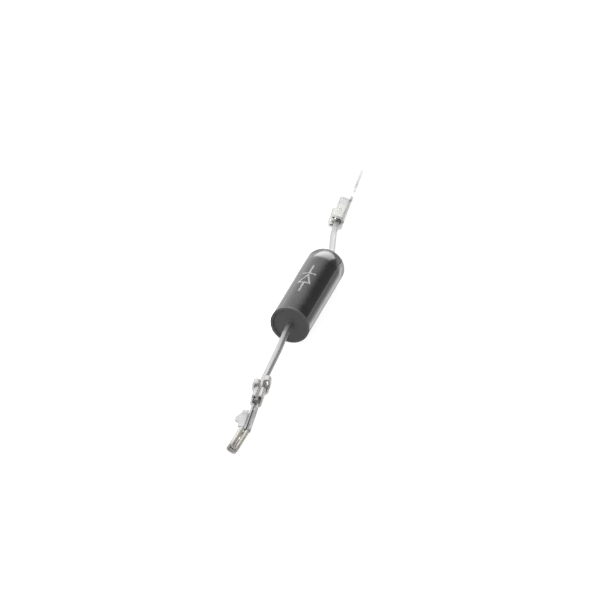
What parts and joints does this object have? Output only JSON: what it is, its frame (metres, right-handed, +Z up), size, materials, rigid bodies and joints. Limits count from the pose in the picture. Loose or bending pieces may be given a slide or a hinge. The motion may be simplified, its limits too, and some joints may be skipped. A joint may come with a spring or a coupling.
{
  "type": "microwave oven diode",
  "caption": "High-voltage rectifier: black moulded cylinder with bent tinned leads, one ending in a crimped ring terminal and the other in a crimped push-on receptacle.",
  "frame": {"origin": "middle of the part's footprint, on the surface that it lies on", "axes": "+X along the length towards the ring terminal, +Z up; the part lies on its body, the ring's rim and the receptacle's lower edge"},
  "size_m": [0.0914, 0.0084, 0.0078],
  "materials": {
    "moulding": "moulded, glossy",
    "resin": "cast, matte",
    "coating": "cast silicone",
    "lead": "tinned, satin",
    "terminal": "tinned, bright, with bare cut edges",
    "silicon": "sawn, satin",
    "solder": "dull"
  },
  "bodies": {
    "root": {"body_shell": "moulding", "potting_resin": "resin", "junction_coating": "coating", "cathode_lead": "lead", "anode_lead": "lead", "ring_terminal": "terminal", "receptacle_terminal": "terminal", "silicon_die_01": "silicon", "silicon_die_02": "silicon", "silicon_die_03": "silicon", "silicon_die_04": "silicon", "silicon_die_05": "silicon", "silicon_die_06": "silicon", "silicon_die_07": "silicon", "silicon_die_08": "silicon", "silicon_die_09": "silicon", "silicon_die_10": "silicon", "silicon_die_11": "silicon", "silicon_die_12": "silicon", "solder_layer_01": "solder", "solder_layer_02": "solder", "solder_layer_03": "solder", "solder_layer_04": "solder", "solder_layer_05": "solder", "solder_layer_06": "solder", "solder_layer_07": "solder", "solder_layer_08": "solder", "solder_layer_09": "solder", "solder_layer_10": "solder", "solder_layer_11": "solder", "solder_layer_12": "solder", "solder_layer_13": "solder"}
  },
  "joints": []
}
